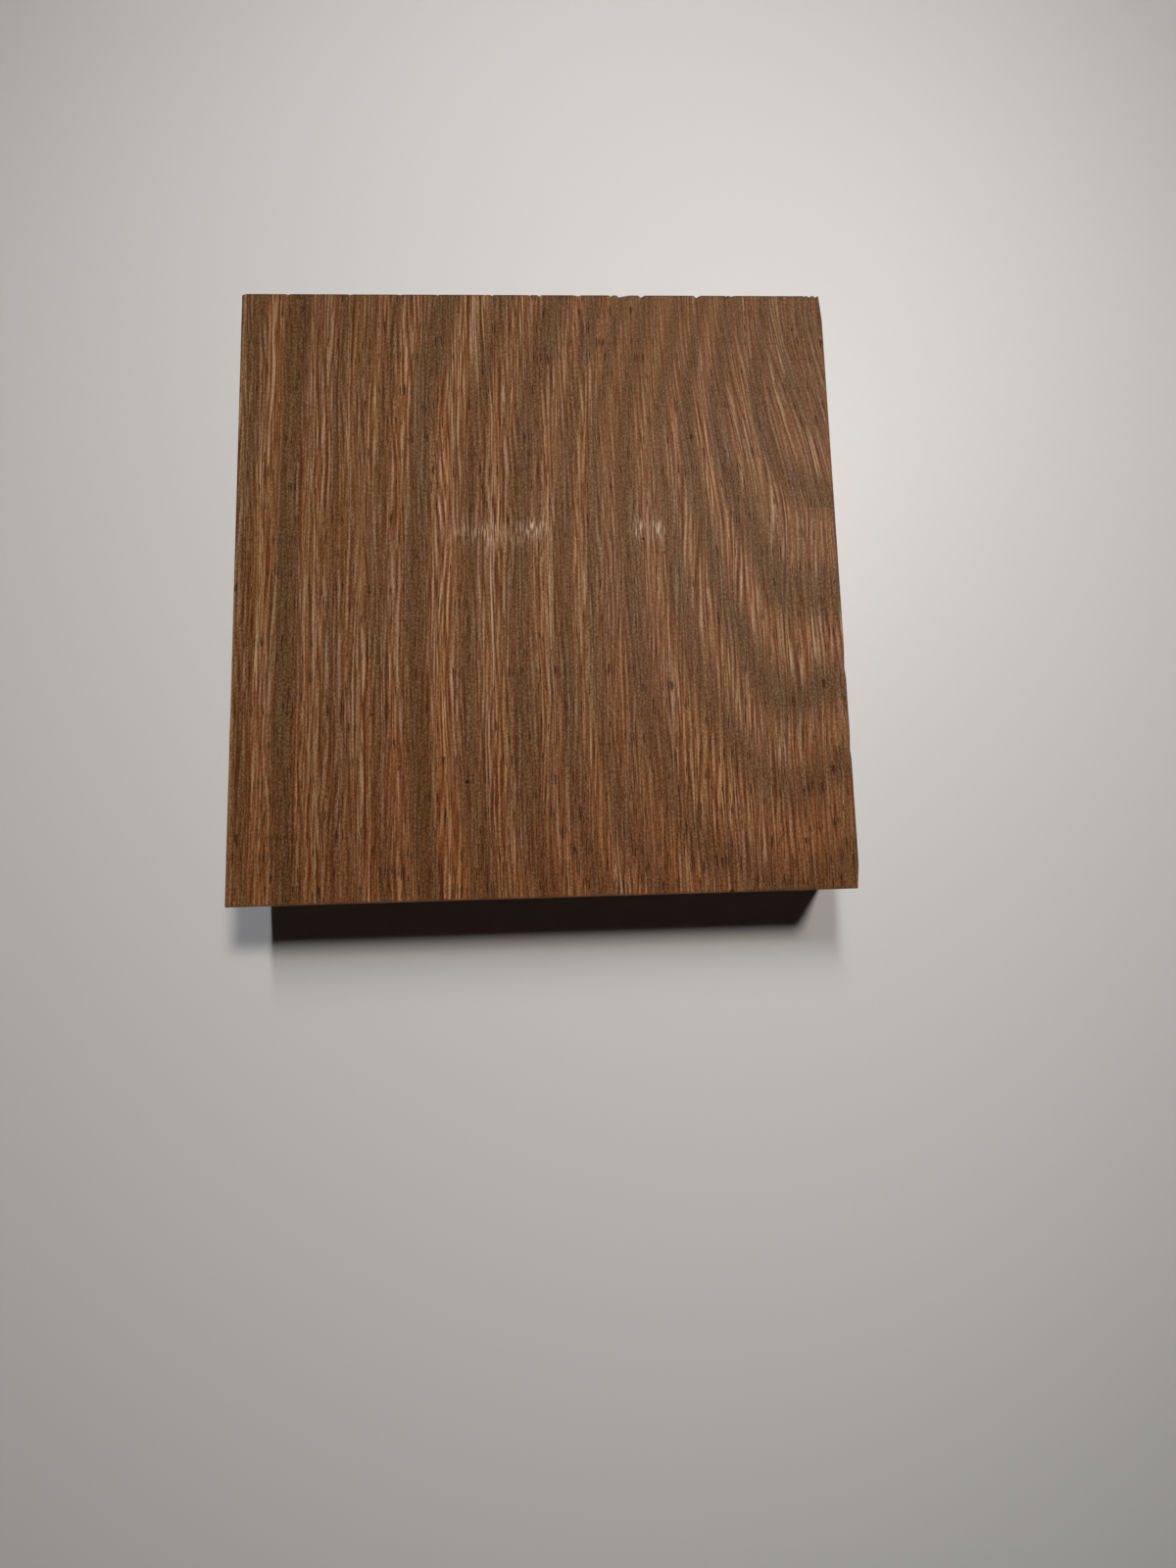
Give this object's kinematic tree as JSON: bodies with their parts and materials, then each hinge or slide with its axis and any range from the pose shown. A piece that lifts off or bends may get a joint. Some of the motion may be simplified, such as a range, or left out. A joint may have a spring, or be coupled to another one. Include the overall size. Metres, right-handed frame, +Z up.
{
  "type": "oak finish sample",
  "caption": "Flat square block of stained oak with straight grain running front to back, sawn ends with small torn nicks and eased long edges, used to show a wood finish.",
  "frame": {"origin": "centre of the underside, on the surface that the block lies on", "axes": "+Z up, square to the finished face; +Y along the grain, towards the back sawn end; +X across the grain, towards the right side"},
  "size_m": [0.097, 0.1, 0.014],
  "materials": {
    "stained_oak": "brown stained oak with open pores, matt"
  },
  "bodies": {
    "root": {"oak_sample": "stained_oak"}
  },
  "joints": []
}
